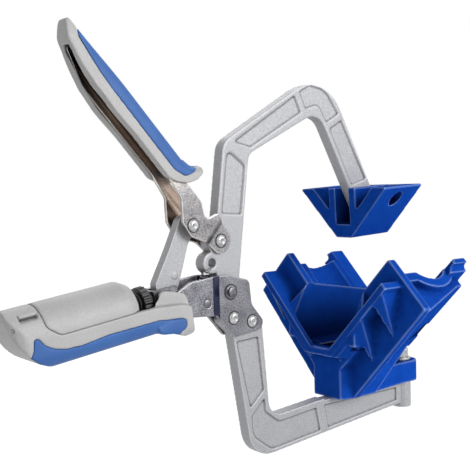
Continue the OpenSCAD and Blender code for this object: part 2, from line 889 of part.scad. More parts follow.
// X runs down the link from the link pin
module link_frame() {
    translate([D.x, 0, D.y])
        rotate([0, -atan2(link_dir.y, link_dir.x), 0])
            children();
}

module toggle_link() {
    color(casting)
        difference() {
            link_frame() {
                slab(link_t) {
                    circle(r = link_head_r);
                    polygon(rounded([
                        [0, -link_head_r, 0], [0, link_head_r, 0], [10, 4.4, 6], [link_len - 9.5, 6.9, 3],
                        [link_len, foot_r, 0], [link_len, -foot_r, 0], [link_len - 5, -8.4, 4], [18, -6.8, 10]
                    ]));
                    translate([link_len, 0]) circle(r = foot_r);
                }
                // round mark near the foot
                for (side = [-1, 1])
                    translate([link_len - 14, side * link_t / 2, 2])
                        rotate([90, 0, 0])
                            cylinder(d = 3.4, h = 0.8, center = true);
            }
            across(D, rivet_d + 2 * pin_clear, 2 * channel_w);
            across(F, foot_pin_d + 2 * pin_clear, 2 * channel_w);
        }
}

module foot_pin() {
    color(bright) across(F, foot_pin_d, channel_gap - 2 * side_clear - 0.8);
}

// PLUNGER: fork, rod, pressure wheel and springs. Handle frame: X to the front.

fork_gap = link_t + 0.8;
fork_w = channel_gap - 2 * side_clear;
fork_x0 = -8.8;
fork_base = 1.6;
wheel_x1 = fork_x0 - 0.5;
wheel_x0 = wheel_x1 - wheel_l;
bush_x1 = wheel_x0 - 24;
bush_l = 8;
plunger_travel = 10;
rod_x0 = -handle_l + 22.5 + plunger_travel;
foot_play = 2.3;
foot_dip = 1.1;
foot_hole = foot_pin_d + foot_dip + 0.7;

module plunger() {
    color(steel)
        handle_frame()
            difference() {
                union() {
                    translate([fork_x0, -fork_w / 2, -6])
                        cube([16, fork_w, 12]);
                    translate([rod_x0, 0, 0])
                        rotate([0, 90, 0])
                            cylinder(d = rod_d, h = fork_x0 - rod_x0 + 1);
                }
                translate([fork_x0 + fork_base, -fork_gap / 2, -10])
                    cube([20, fork_gap, 20]);
                // long hole for the link's foot
                translate([0, 0, -foot_dip / 2])
                    rotate([90, 0, 0])
                        linear_extrude(height = 2 * fork_w, center = true) {
                            for (x = [-foot_play, foot_play])
                                translate([x, 0]) circle(d = foot_hole);
                            square([2 * foot_play, foot_hole], center = true);
                        }
            }
}

module pressure_wheel() {
    color(black)
        handle_frame()
            translate([wheel_x0, 0, 0])
                rotate([0, 90, 0])
                    difference() {
                        union() {
                            cylinder(d = wheel_d, h = wheel_l - 2);
                            cylinder(d = wheel_d - 5, h = wheel_l);
                        }
                        translate([0, 0, -1])
                            cylinder(d = rod_d + 2 * pin_clear, h = wheel_l + 2);
                        for (i = [0 : wheel_notches - 1])
                            rotate(360 * i / wheel_notches)
                                translate([wheel_d / 2 + 0.4, 0, -1])
                                    cylinder(d = 2.2, h = wheel_l + 2, $fn = 16);
                    }
}

module main_spring() {
    turns = 11;
    r = spring_r - spring_wire / 2;
    x0 = bush_x1 + spring_wire / 2 + 0.3;
    x1 = wheel_x0 - spring_wire / 2 - 0.3;
    steps = 14 * turns;
    color(black)
        handle_frame()
            wire([for (i = [0 : steps])
                let (a = 360 * turns * i / steps)
                [x0 + (x1 - x0) * i / steps, r * cos(a), r * sin(a)]], spring_wire / 2);
}

module guide_bush() {
    color(steel)
        handle_frame()
            translate([bush_x1 - bush_l, 0, 0])
                rotate([0, 90, 0])
                    difference() {
                        cylinder(r = bore_r, h = bush_l);
                        translate([0, 0, -1])
                            cylinder(d = rod_d + 2 * pin_clear, h = bush_l + 2);
                    }
}

module jam_plates() {
    plate_t = 1.6;
    color(steel)
        handle_frame()
            for (i = [0 : 2])
                translate([bush_x1 - bush_l - (i + 1) * (plate_t + 0.2), 0, 0])
                    rotate([0, 90, 0])
                        difference() {
                            cylinder(r = bore_r - 3, h = plate_t);
                            translate([0, 0, -1])
                                cylinder(d = rod_d + 4 * pin_clear, h = plate_t + 2);
                        }
}

module return_spring() {
    coil_r = 2.4;
    dir = unit(spring_foot - spring_eye);
    len = norm(spring_foot - spring_eye);
    turns = 7;
    steps = 12 * turns;
    coil_0 = 8.5;
    coil_1 = len - 5.5;
    hook_r = rivet_d / 2 + 0.3 + return_wire / 2;
    color(bright)
        translate([spring_eye.x, 0, spring_eye.y])
            rotate([0, -atan2(dir.y, dir.x), 0])
                wire(concat(
                    // loose end, then through the arm's eye and round its far side
                    [[7.6, -5.6, -6], [5.5, -6, -3], [3, -6.2, -0.8], [1.5, -5.4, 0], [1.3, 0, 0], [1.5, 5.4, 0],
                        [3.4, 6, 0.3], [6.8, 5.5, 0.8], [8, 3, 1.8]],
                    [for (i = [0 : steps])
                        let (a = 360 * turns * i / steps)
                        [coil_0 + (coil_1 - coil_0) * i / steps, coil_r * sin(a), coil_r * cos(a)]],
                    // hook round the anchor pin
                    [for (a = [200 : -30 : -60]) [len + hook_r * cos(a), 0, hook_r * sin(a)]]
                ), return_wire / 2);
}

// LOWER GRIP: moulded shell with an inlay below and a cover over the barrel

grip_x1 = 11;
grip_x0 = -handle_l;
cover_x1 = wheel_x0 - 6.2;
cover_x0 = grip_x0 + 17.5;
parting_z = -1;
front_drop = handle_drop + 6;

// Side outline of the shell, with the rear block behind the barrel cover
module handle_outline() {
    polygon(rounded([
        [grip_x1 + 1, -7, 3], [4.5, -3.6, 8], [-12, -1.3, 8], [cover_x1, parting_z, 4],
        [cover_x0 + 8, parting_z, 6], [cover_x0 + 1, 4.5, 5], [cover_x0, barrel_r + 3, 0],
        [grip_x0 + 4, barrel_r + 3, 0], [grip_x0 + 0.2, barrel_r - 1, 2], [grip_x0 - 0.4, 11, 6], [grip_x0 + 1.2, 3, 14],
        [grip_x0 + 3.8, -3, 14], [grip_x0 + 7, -7.8, 12], [grip_x0 + 12, -13, 12], [grip_x0 + 18.5, -16.4, 10],
        [grip_x0 + 27, -handle_drop - 2, 6], [grip_x1 + 1, -handle_drop - 2, 0]
    ]));
}

// Side outline of the bulge under the front end
module bulge_outline() {
    polygon(rounded([
        [-14, -13, 0], [-13, -17, 3], [-4, -handle_drop - 1.6, 6], [2, -front_drop + 1.6, 4],
        [6, -front_drop - 0.2, 4], [grip_x1 - 0.1, -front_drop + 0.6, 3], [grip_x1 - 0.3, -10, 0]
    ]));
}

// Side outline of the shoulders beside the body plates
module shoulder_outline() {
    polygon(rounded([
        [-14, -8, 0], [-12.4, 0, 1.5], [-10, 2.2, 2], [-7.6, 5, 2], [-4.8, 5.9, 3], [1, 4.3, 8],
        [grip_x1 - 2.5, 1.4, 3], [grip_x1 - 0.8, -3, 3], [grip_x1 - 1.2, -8, 0]
    ]));
}

// Prism of the grip, rounded in its section and at both ends
module handle_prism(drop) {
    intersection() {
        translate([grip_x0 - 5, 0, 0])
            rotate([90, 0, 90])
                linear_extrude(height = handle_l + 40)
                    polygon(rounded([
                        [-barrel_r, barrel_r, barrel_r - 0.2], [-barrel_r, -drop, 8], [barrel_r, -drop, 8],
                        [barrel_r, barrel_r, barrel_r - 0.2]
                    ]));
        translate([0, 0, -60])
            linear_extrude(height = 120)
                polygon(rounded([
                    [grip_x0 - 1, -barrel_r - 1, 13], [grip_x1, -barrel_r - 1, 5], [grip_x1, barrel_r + 1, 5],
                    [grip_x0 - 1, barrel_r + 1, 13]
                ]));
    }
}

module handle_body() {
    intersection() {
        slab(4 * barrel_r) handle_outline();
        handle_prism(handle_drop);
    }
    intersection() {
        slab(4 * barrel_r) bulge_outline();
        handle_prism(front_drop + 0.4);
    }
    slab(channel_w + 5.8) shoulder_outline();
}

// Inside the handle: plates and plunger at the front, the barrel's bore behind
module handle_hollow() {
    translate([-12, -rear_half, -14.5])
        cube([60, channel_w, 60]);
    translate([bush_x1 - 2, 0, 0])
        rotate([0, 90, 0])
            cylinder(r = bore_r, h = -bush_x1 + 2 - 8);
    translate([cover_x0 + 5, 0, 0])
        rotate([0, 90, 0])
            cylinder(r = bore_r, h = bush_x1 - cover_x0);
}

module inlay_region() {
    slab(6 * barrel_r)
        polygon(rounded([
            [5.2, -12.3, 2], [1.7, -11.1, 5], [-13.6, -8.6, 12], [-45, -8, 20], [grip_x0 + 36.6, -9.3, 10],
            [grip_x0 + 27, -8.8, 6], [grip_x0 + 20.8, -7, 6], [grip_x0 + 15.8, -3.9, 4], [grip_x0 + 13.3, 0.2, 1.2],
            [grip_x0 + 10.7, 0.6, 1], [grip_x0 + 9.4, -5.3, 6], [grip_x0 + 7.5, -8.4, 2], [grip_x0 + 5, -9, 0],
            [grip_x0 + 5, -40, 0], [-2, -40, 0], [0, -19, 3], [4.2, -17.4, 2]
        ]));
}

module inlay_core() {
    translate([grip_x0 - 1, -barrel_r + 3, -handle_drop + 3])
        cube([handle_l + 40, 2 * barrel_r - 6, 60]);
}

module lower_grip() {
    color(grip_grey)
        handle_frame()
            difference() {
                handle_body();
                handle_hollow();
                difference() {
                    inlay_region();
                    inlay_core();
                }
                // windows for the release tab in the rear block
                for (side = [-1, 1])
                    translate([grip_x0 + 6.5, side * barrel_r - 7, 9.8])
                        cube([10, 14, 3.6]);
            }
}

module lower_inlay() {
    color(blue)
        handle_frame()
            difference() {
                intersection() {
                    handle_body();
                    inlay_region();
                }
                inlay_core();
                handle_hollow();
            }
}

// Barrel cover: half a tube, its lower edge along the shell's parting line
module barrel_cover() {
    l = cover_x1 - cover_x0;
    gap = 0.1;
    color(grip_grey)
        handle_frame()
            difference() {
                intersection() {
                    translate([cover_x0, 0, 0])
                        rotate([0, 90, 0])
                            union() {
                                cylinder(r = barrel_r, h = l - 6);
                                translate([0, 0, l - 6])
                                    cylinder(r1 = barrel_r, r2 = barrel_r - 3.2, h = 6);
                            }
                    slab(4 * barrel_r)
                        polygon(rounded([
                            [cover_x1 + 1, parting_z + gap, 0], [cover_x0 + 8, parting_z + gap, 6],
                            [cover_x0 + 1 + gap, 4.5 + gap, 5], [cover_x0 + gap, 2 * barrel_r, 0],
                            [cover_x1 + 1, 2 * barrel_r, 0]
                        ]));
                }
                translate([cover_x0 + 5, 0, 0])
                    rotate([0, 90, 0])
                        cylinder(r = bore_r, h = l);
            }
}

body_plate_near();
body_plate_far();
lower_arm();
corner_jaw();
jaw_screw();
jaw_washer();
frame_rivets();
pivot_pin();
spring_anchor();
lower_grip();
lower_inlay();
barrel_cover();
guide_bush();
jam_plates();
upper_arm();
wedge_pad();
pad_pin();
lever();
lever_grip();
lever_inlay();
lever_pin();
link_pin();
toggle_link();
foot_pin();
plunger();
pressure_wheel();
main_spring();
return_spring();
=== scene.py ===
import math

import bpy
from mathutils import Matrix, Vector


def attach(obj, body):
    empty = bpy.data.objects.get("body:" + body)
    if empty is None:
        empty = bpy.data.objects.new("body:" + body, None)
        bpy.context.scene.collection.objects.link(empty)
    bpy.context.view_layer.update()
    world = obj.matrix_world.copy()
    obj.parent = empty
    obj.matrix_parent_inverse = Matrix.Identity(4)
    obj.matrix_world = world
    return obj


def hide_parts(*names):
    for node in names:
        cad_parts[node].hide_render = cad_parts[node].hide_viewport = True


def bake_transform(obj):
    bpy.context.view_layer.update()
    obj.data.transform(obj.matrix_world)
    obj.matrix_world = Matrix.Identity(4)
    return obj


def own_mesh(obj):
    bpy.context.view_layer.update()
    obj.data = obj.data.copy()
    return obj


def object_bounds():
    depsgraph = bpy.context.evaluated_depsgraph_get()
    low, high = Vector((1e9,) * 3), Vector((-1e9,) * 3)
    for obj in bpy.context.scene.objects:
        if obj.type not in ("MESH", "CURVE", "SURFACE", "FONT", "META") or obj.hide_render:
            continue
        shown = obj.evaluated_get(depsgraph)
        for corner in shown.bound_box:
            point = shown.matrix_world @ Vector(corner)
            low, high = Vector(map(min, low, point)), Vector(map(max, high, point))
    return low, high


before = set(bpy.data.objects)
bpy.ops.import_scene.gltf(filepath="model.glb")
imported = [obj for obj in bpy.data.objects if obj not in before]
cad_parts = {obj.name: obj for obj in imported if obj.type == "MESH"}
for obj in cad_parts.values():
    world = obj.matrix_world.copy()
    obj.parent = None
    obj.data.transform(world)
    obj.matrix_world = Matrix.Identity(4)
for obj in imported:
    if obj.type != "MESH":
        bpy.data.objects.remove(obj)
cad_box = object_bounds()


# The studio: a sheet of pale paper under the clamp, a white surround and three large soft lamps.
# The clamp hangs a little above the paper, as if its work held it. All lengths are in metres.
class Shade:
    """A socket of a finish. Sums on it add Math nodes; node() adds any other."""

    def __init__(self, tree, socket=None):
        self.tree = tree
        self.socket = socket

    def node(self, kind, setup=None, values=None, out=0):
        made = self.tree.nodes.new(kind)
        for key, value in (setup or {}).items():
            setattr(made, key, value)
        for key, value in (values or {}).items():
            if isinstance(value, Shade):
                self.tree.links.new(value.socket, made.inputs[key])
            else:
                made.inputs[key].default_value = value
        return Shade(self.tree, made.outputs[out])

    def sum(self, operation, a, b):
        return self.node("ShaderNodeMath", {"operation": operation}, {0: a, 1: b})

    def __add__(self, other):
        return self.sum("ADD", self, other)

    def __sub__(self, other):
        return self.sum("SUBTRACT", self, other)

    def __rsub__(self, other):
        return self.sum("SUBTRACT", other, self)

    def __mul__(self, other):
        return self.sum("MULTIPLY", self, other)

    def __abs__(self):
        return self.sum("ABSOLUTE", self, 0.0)

    __radd__ = __add__
    __rmul__ = __mul__

    def noise(self, scale, detail=2.0):
        """Noise at this place, with scale waves to the metre."""
        values = {"Vector": self, "Scale": scale, "Detail": detail}
        return self.node("ShaderNodeTexNoise", {}, values)

    def over(self, low, high):
        """Spreads the part between two limits over 0 to 1."""
        values = {"Value": self, "From Min": low, "From Max": high}
        return self.node("ShaderNodeMapRange", {}, values)

    def tint(self, dark, light):
        """Goes from one colour to the other with this value. Each is a Shade or three numbers."""
        ends = [c if isinstance(c, Shade) else (*c, 1.0) for c in (dark, light)]
        values = {0: self, 6: ends[0], 7: ends[1]}
        return self.node("ShaderNodeMix", {"data_type": "RGBA"}, values, out=2)

    def vector(self, operation, other, out=0):
        return self.node("ShaderNodeVectorMath", {"operation": operation}, {0: self, 1: other}, out)

    def along(self, axis, start):
        """Distance from start along an axis, where this is the place."""
        return self.vector("SUBTRACT", start).vector("DOT_PRODUCT", axis, out=1)

    def from_pin(self, spot):
        """Distance from the axis of a cross pin, where this is the place."""
        flat = self.vector("MULTIPLY", (1.0, 0.0, 1.0))
        return flat.vector("DISTANCE", (spot[0], 0.0, spot[1]), out=1)


def feed(shader, socket, value):
    value.tree.links.new(value.socket, shader.inputs[socket])


def seen_plainly(tree):
    """1 for rays from the camera, through glass or off a shiny face, 0 for light on the pieces."""
    direct, through, shone = (
        Shade(tree).node("ShaderNodeLightPath", out=f"Is {way} Ray")
        for way in ("Camera", "Transmission", "Glossy"))
    return direct.sum("MAXIMUM", direct.sum("MAXIMUM", direct, through), shone)


scene = bpy.context.scene
scene.view_settings.view_transform = "Standard"

paper_gap, paper_share, paper_glow = 0.03, 0.82, 1.16
bpy.ops.object.select_all(action="DESELECT")
bpy.ops.mesh.primitive_plane_add(size=6.0, location=(0.0, 0.0, cad_box[0][2] - paper_gap))
floor = bpy.context.object
floor.name = "floor"
paper = bpy.data.materials.new("pale_paper")
paper.use_nodes = True
matt = paper.node_tree.nodes["Principled BSDF"]
matt.inputs["Base Color"].default_value = (0.8, 0.8, 0.8, 1.0)
matt.inputs["Roughness"].default_value = 0.9
seen = seen_plainly(paper.node_tree)
glow = seen.node("ShaderNodeEmission", {}, {"Strength": paper_glow})
lit = Shade(paper.node_tree, matt.outputs[0])
both = seen.node("ShaderNodeMixShader", {}, {0: seen * paper_share, 1: lit, 2: glow})
feed(paper.node_tree.nodes["Material Output"], "Surface", both)
floor.data.materials.append(paper)

soft_level = 0.30
world = bpy.data.worlds.new("white_surround")
scene.world = world
world.use_nodes = True
sky = world.node_tree.nodes["Background"]
sky.inputs["Color"].default_value = (1.0, 1.0, 1.0, 1.0)
feed(sky, "Strength", soft_level + (1.0 - soft_level) * seen_plainly(world.node_tree))

middle = Vector((-0.09, 0.0, 0.07))
for name, place, width, watts in (
    ("key_lamp", (0.3, -1.15, 0.52), 0.6, 11.5),
    ("fill_lamp", (-1.0, -0.5, 0.6), 0.8, 1.2),
    ("back_lamp", (0.3, 0.9, 0.9), 0.8, 4.0),
):
    bpy.ops.object.light_add(type="AREA", location=place)
    lamp = bpy.context.object
    lamp.name = name
    lamp.data.size = width
    lamp.data.energy = watts
    lamp.rotation_euler = (middle - Vector(place)).to_track_quat("-Z", "Y").to_euler()

# The camera stands at the photograph's place: in front of the clamp and to its left, a little
# above the jaw. Its place, turn and lens were fitted to the straight edges of the object.
camera_place = (-0.4235, -0.4118, 0.1165)
focal_pixels, picture_pixels, sensor_mm = 851.0, 470.0, 36.0
yaw, pitch, roll = (math.radians(angle) for angle in (37.5, 3.2, -1.51))
level_look = Vector((math.sin(yaw), math.cos(yaw), 0.0))
look = math.cos(pitch) * level_look - math.sin(pitch) * Vector((0.0, 0.0, 1.0))
level_right = Vector((math.cos(yaw), -math.sin(yaw), 0.0))
level_up = level_right.cross(look)
right = math.cos(roll) * level_right + math.sin(roll) * level_up
up = math.cos(roll) * level_up - math.sin(roll) * level_right
bpy.ops.object.camera_add()
camera = bpy.context.object
camera.name = "camera"
camera.data.sensor_width = sensor_mm
camera.data.lens = sensor_mm * focal_pixels / picture_pixels
camera.data.clip_start = 0.01
turn = Matrix((right, up, -look)).transposed().to_4x4()
camera.matrix_world = Matrix.Translation(camera_place) @ turn
scene.camera = camera


# The two cast arms: light zinc alloy, blasted to a fine satin grain, with sunk panels
# and edges rounded by the mould. The lower one is riveted, the upper one swings.
def finish(name):
    """A new finish: its material, its shader, and the place on the piece."""
    made = bpy.data.materials.new(name)
    made.use_nodes = True
    shader = made.node_tree.nodes["Principled BSDF"]
    place = Shade(made.node_tree).node("ShaderNodeTexCoord", out="Object")
    return made, shader, place


def dent(shader, height, depth):
    """Raises and lowers the surface by height times depth."""
    values = {"Distance": depth, "Height": height}
    feed(shader, "Normal", height.node("ShaderNodeBump", {}, values))


# Its pointiness drives the painted highlights on edges and the painted shade in corners below.
def edge_pointiness(place):
    """How far a spot stands out on an edge: below 0.5 in corners, above it on edges."""
    return place.node("ShaderNodeNewGeometry", out="Pointiness")


cast_metal, shader, place = finish("cast_metal")
cast_dark, cast_light = (0.33, 0.333, 0.345), (0.46, 0.463, 0.48)
cast_edge_highlight, cast_crease_shade = (0.74, 0.745, 0.76), (0.07, 0.07, 0.075)
grain = place.noise(1150.0, 4.0)
cloud = place.noise(70.0, 3.0)
mottle = cloud.over(0.3, 0.7) * 0.15 + grain.over(0.34, 0.66) * 0.85
edge = edge_pointiness(place)
# Paler on the edges, a painted highlight, and darker in the inner corners and round the panels,
# painted shade.
skin = edge.over(0.51, 0.58).tint(mottle.tint(cast_dark, cast_light), cast_edge_highlight)
feed(shader, "Base Color", edge.over(0.494, 0.455).tint(skin, cast_crease_shade))
feed(shader, "Roughness", 0.42 + grain * 0.16)
shader.inputs["Metallic"].default_value = 0.4
dent(shader, grain + place.noise(2200.0, 2.0), 0.00014)


def with_mesh_of(mesh, name):
    """A new piece with its own copy of a mesh."""
    piece = bpy.data.objects.new(name, mesh.copy())
    scene.collection.objects.link(piece)
    return piece


def moulded(node, body, cell, passes, material, fills=()):
    """A copy of a CAD node with its edges rounded off, as a mould or a press leaves them.

    Metal runs into each inner corner that fills names, with a radius."""
    piece = with_mesh_of(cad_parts[node].data, node + "_rounded")
    bpy.ops.object.select_all(action="DESELECT")
    drops = []
    for spot, radius in fills:
        bpy.ops.mesh.primitive_ico_sphere_add(subdivisions=3, radius=radius, location=spot)
        drops.append(bpy.context.object)
    for drop in drops:
        drop.select_set(True)
    piece.select_set(True)
    bpy.context.view_layer.objects.active = piece
    if drops:
        bpy.ops.object.join()
    bpy.ops.object.mode_set(mode="EDIT")
    bpy.ops.mesh.select_all(action="SELECT")
    bpy.ops.mesh.remove_doubles(threshold=1e-6)
    bpy.ops.object.mode_set(mode="OBJECT")
    cells = piece.modifiers.new("cells", "REMESH")
    cells.mode = "VOXEL"
    cells.voxel_size = cell
    bpy.ops.object.modifier_apply(modifier="cells")
    soft = piece.modifiers.new("soft", "SMOOTH")
    soft.factor = 0.5
    soft.iterations = passes
    bpy.ops.object.modifier_apply(modifier="soft")
    bpy.ops.object.shade_smooth()
    piece.data.materials.clear()
    piece.data.materials.append(material)
    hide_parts(node)
    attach(piece, body)
    return piece


arm_cell = 0.00055
moulded("lower_arm", "frame", arm_cell, 3, cast_metal)
moulded("upper_arm", "arm", arm_cell, 3, cast_metal)

# The two body plates: stamped from sheet steel, stepped outwards in one press stroke,
# tumbled and zinc plated, so that the faces are speckled; the bright edges are painted highlight.
zinc, shader, place = finish("zinc_plate")
plate_dark, plate_light = (0.045, 0.043, 0.053), (0.34, 0.34, 0.37)
step_jaw_reflection, rivet_shadow, plate_edge_highlight = (0.028, 0.036, 0.09), (0.025, 0.025, 0.028), (0.85, 0.85, 0.86)
arm_rivets = ((-0.115, 0.038), (-0.101, 0.0345))
main_axis = (-0.117, 0.054)
step_x, rivet_ring, axis_ring = -0.1287, 0.0040, 0.0046
speck = place.noise(1500.0, 4.0)
smear = place.noise(120.0, 3.0)
mottle = speck.over(0.36, 0.64) * 0.7 + smear.over(0.3, 0.7) * 0.3
# The pressed step's strip is tinted blue: a painted reflection of the jaw.
on_step = abs(place.along((1.0, 0.0, 0.0), (step_x, 0.0, 0.0))).over(0.0036, 0.0030)
tone = on_step.tint(mottle.tint(plate_dark, plate_light), step_jaw_reflection)
# Dark rings round the rivets and the main pivot: painted shadow.
for spot, ring in (*((rivet, rivet_ring) for rivet in arm_rivets), (main_axis, axis_ring)):
    tone = place.from_pin(spot).over(ring + 0.0006, ring).tint(tone, rivet_shadow)
# Paler on the edges: painted highlight.
feed(shader, "Base Color", edge_pointiness(place).over(0.52, 0.6).tint(tone, plate_edge_highlight))
feed(shader, "Roughness", 0.3 + speck * 0.25 - on_step * 0.2)
shader.inputs["Metallic"].default_value = 0.85
dent(shader, speck + smear, 0.00008)
plate_cell = 0.0004
moulded("body_plate_near", "frame", plate_cell, 2, zinc)
moulded("body_plate_far", "frame", plate_cell, 2, zinc)

# Rivets and the main pivot: drawn steel wire. A rivet's head is peened to a low dome with a ring
# and a small hollow in the middle. The pivot has a thin collar and a stub, dull like the plates.
bright, shader, place = finish("bright_steel")
steel_dark, steel_light = (0.27, 0.27, 0.275), (0.60, 0.605, 0.61)
pivot_dark, pivot_light, steel_corner_shade = (0.07, 0.07, 0.08), (0.24, 0.24, 0.26), (0.08, 0.08, 0.082)
dull = place.noise(700.0, 3.0)
mottle = dull.over(0.3, 0.7)
on_pivot = place.from_pin(main_axis).over(0.0048, 0.0045)
tone = on_pivot.tint(mottle.tint(steel_dark, steel_light), mottle.tint(pivot_dark, pivot_light))
# Darker in the corners between the steps: painted shade.
feed(shader, "Base Color", edge_pointiness(place).over(0.5, 0.42).tint(tone, steel_corner_shade))
feed(shader, "Roughness", 0.2 + dull * 0.22)
shader.inputs["Metallic"].default_value = 0.95
across = Vector((0.0, 1.0, 0.0))
rivet_shank, plates_half = 0.0025, 0.0067


def riveted(name, shank, reach, steps):
    """A pin across the clamp at the origin, reach long to each side.

    Each step lengthens its two ends and then gives them a radius."""
    bpy.ops.object.select_all(action="DESELECT")
    bpy.ops.mesh.primitive_cylinder_add(
        vertices=40, radius=shank, depth=2.0 * reach, rotation=(math.pi / 2, 0.0, 0.0))
    piece = bpy.context.object
    piece.name = name
    bpy.ops.object.transform_apply(location=True, rotation=True, scale=True)
    for side in (-1.0, 1.0):
        end, radius_now = reach, shank
        bpy.ops.object.mode_set(mode="EDIT")
        bpy.ops.mesh.select_mode(type="FACE")
        bpy.ops.mesh.select_all(action="DESELECT")
        bpy.ops.object.mode_set(mode="OBJECT")
        for face in piece.data.polygons:
            face.select = face.center.y * side > 0.9 * reach and face.normal.y * side > 0.9
        bpy.ops.object.mode_set(mode="EDIT")
        for radius, rise in steps:
            bpy.ops.mesh.extrude_region_move(
                TRANSFORM_OT_translate={"value": (0.0, side * rise, 0.0)})
            end += rise
            widen = radius / radius_now
            bpy.ops.transform.resize(
                value=(widen, 1.0, widen), center_override=(0.0, side * end, 0.0))
            radius_now = radius
        bpy.ops.object.mode_set(mode="OBJECT")
    rounded = piece.modifiers.new("rounded", "BEVEL")
    rounded.width = 0.00012
    rounded.segments = 2
    rounded.limit_method = "ANGLE"
    rounded.angle_limit = math.radians(35.0)
    bpy.ops.object.modifier_apply(modifier="rounded")
    bpy.ops.object.shade_smooth_by_angle(angle=math.radians(32.0))
    piece.data.materials.append(bright)
    return piece


def set_in(piece, spot, node, body):
    """Puts a pin at its spot on the clamp's middle plane, in place of the CAD pin."""
    piece.data.transform(Matrix.Translation((spot[0], 0.0, spot[1])))
    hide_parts(node)
    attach(piece, body)


peened = (
    (0.00375, 0.0), (0.00375, 0.0005), (0.0034, 0.0005), (0.0026, 0.0005),
    (0.0020, 0.0002), (0.0014, 0.0), (0.0011, -0.0003))
rivet = riveted("arm_rivet_1", rivet_shank, plates_half, peened)
rivet_mesh = rivet.data.copy()
set_in(rivet, arm_rivets[0], "frame_rivets", "frame")
set_in(with_mesh_of(rivet_mesh, "arm_rivet_2"), arm_rivets[1], "frame_rivets", "frame")
stub = ((0.0043, 0.0), (0.0043, 0.0005), (0.0040, 0.0002), (0.0030, 0.0), (0.0030, 0.0019))
set_in(riveted("main_pivot", 0.0035, 0.0066, stub), main_axis, "pivot_pin", "frame")

# The vee jaw and the wedge pad: zinc die castings in a glossy blue enamel. The edges are paler,
# a painted highlight, and the corners, the trough and the slot darker, painted shade.
enamel, shader, place = finish("blue_enamel")
thin_blue, full_blue = (0.0064, 0.063, 0.41), (0.0082, 0.078, 0.48)
edge_highlight_blue, corner_shade_blue = (0.22, 0.40, 0.82), (0.0008, 0.006, 0.055)
trough_shade_blue, occluded_shade_blue = (0.0010, 0.006, 0.045), (0.0015, 0.010, 0.075)
ripple = place.noise(130.0, 2.0)
fine = place.noise(1500.0, 2.0)
coat = ripple.over(0.3, 0.7).tint(thin_blue, full_blue)
edge = edge_pointiness(place)
# Paler on the edges: painted highlight.
coat = edge.over(0.515, 0.60).tint(coat, edge_highlight_blue)
# Darker in the inner corners: painted shade.
coat = edge.over(0.485, 0.42).tint(coat, corner_shade_blue)
origin = (0.0, 0.0, 0.0)
ahead = place.along((1.0, 0.0, 0.0), origin)
aside = abs(place.along(across, origin))
height = place.along((0.0, 0.0, 1.0), origin)
# Darker in the trough, more towards its floor, and in the slot: painted shade.
in_trough = height.over(0.062, 0.016) * height.over(0.0086, 0.0094)
in_trough *= aside.over(0.0290, 0.0282) * ahead.over(-0.0358, -0.0350)
in_slot = height.over(0.0096, 0.0090) * height.over(-0.009, -0.008)
in_slot *= aside.over(0.0102, 0.0096) * ahead.over(-0.0325, -0.0315)
coat = (in_trough * 0.85 + in_slot).tint(coat, trough_shade_blue)
# Darker where ambient occlusion finds the piece hemmed in: painted shade.
open_to_light = place.node(
    "ShaderNodeAmbientOcclusion", {"samples": 8, "only_local": True}, {"Distance": 0.03}, out="AO")
feed(shader, "Base Color", open_to_light.over(0.12, 0.85).tint(occluded_shade_blue, coat))
feed(shader, "Roughness", 0.22 + fine.over(0.35, 0.65) * 0.12)
shader.inputs["Specular IOR Level"].default_value = 0.0
feed(shader, "Coat Weight", edge.over(0.505, 0.56) * 0.7)
shader.inputs["Coat Roughness"].default_value = 0.08
dent(shader, ripple + fine * 0.3, 0.0001)
fillet = 0.0022
fillets = [((-0.0328, side * 0.0142, 0.0024), fillet) for side in (-1, 1)]
fillets += [((-0.0365, side * 0.0255, 0.0168), fillet) for side in (-1, 1)]
moulded("corner_jaw", "frame", 0.00082, 2, enamel, fillets)
moulded("wedge_pad", "pad", 0.0006, 2, enamel)

# The jaw's socket screw and washer and the pad's cross pin: turned steel, nickel plated.
# The screw draws the jaw down on the lower arm's boss, and the pad hangs on its pin.
turned_cell = 0.00025
moulded("jaw_washer", "frame", turned_cell, 2, bright)
moulded("jaw_screw", "frame", turned_cell, 2, bright)
moulded("pad_pin", "pad", turned_cell, 2, bright)

# The lever: one stamped channel with two cheeks that step in over the arm, nickel plated and
# polished.
# Its channel holds painted reflections, brown, pale and dark towards the tip. Two rivets carry it.
nickel, shader, place = finish("lever_nickel")
nickel_dark, nickel_light = (0.11, 0.105, 0.108), (0.38, 0.37, 0.38)
inside_reflection_dark, inside_reflection_light = (0.05, 0.035, 0.028), (0.40, 0.31, 0.25)
mouth_reflection_dark, mouth_reflection_light = (0.22, 0.17, 0.145), (0.78, 0.70, 0.63)
tip_reflection_dark, tip_reflection_light = (0.02, 0.016, 0.015), (0.30, 0.25, 0.23)
lever_pin_shadow, nickel_edge_highlight = (0.025, 0.025, 0.026), (0.9, 0.89, 0.88)
lean = math.radians(180.0 - 48.4)
lever_way = Vector((math.cos(lean), 0.0, math.sin(lean)))
lever_out = lever_way.cross(across)
lever_pins = ((-0.1232, 0.085), (-0.1446994, 0.0952087))
lever_pivot = Vector((lever_pins[0][0], 0.0, lever_pins[0][1]))
speck = place.noise(1300.0, 4.0)
smear = place.noise(90.0, 3.0)
mottle = speck.over(0.36, 0.64) * 0.55 + smear.over(0.3, 0.7) * 0.45
up_lever = place.along(lever_way, lever_pivot)
aside = place.along(across, lever_pivot)
depth = place.along(lever_out, lever_pivot)
long_waves, cross_waves = 7.0, 420.0
streaked = {0: up_lever * long_waves, 1: aside * cross_waves, 2: depth * cross_waves}
# The streaks colour the channel's inside, mouth and tip as painted reflections.
reflection_streaks = place.node("ShaderNodeCombineXYZ", {}, streaked).noise(1.0, 3.0).over(0.35, 0.65)
tone = mottle.tint(nickel_dark, nickel_light)
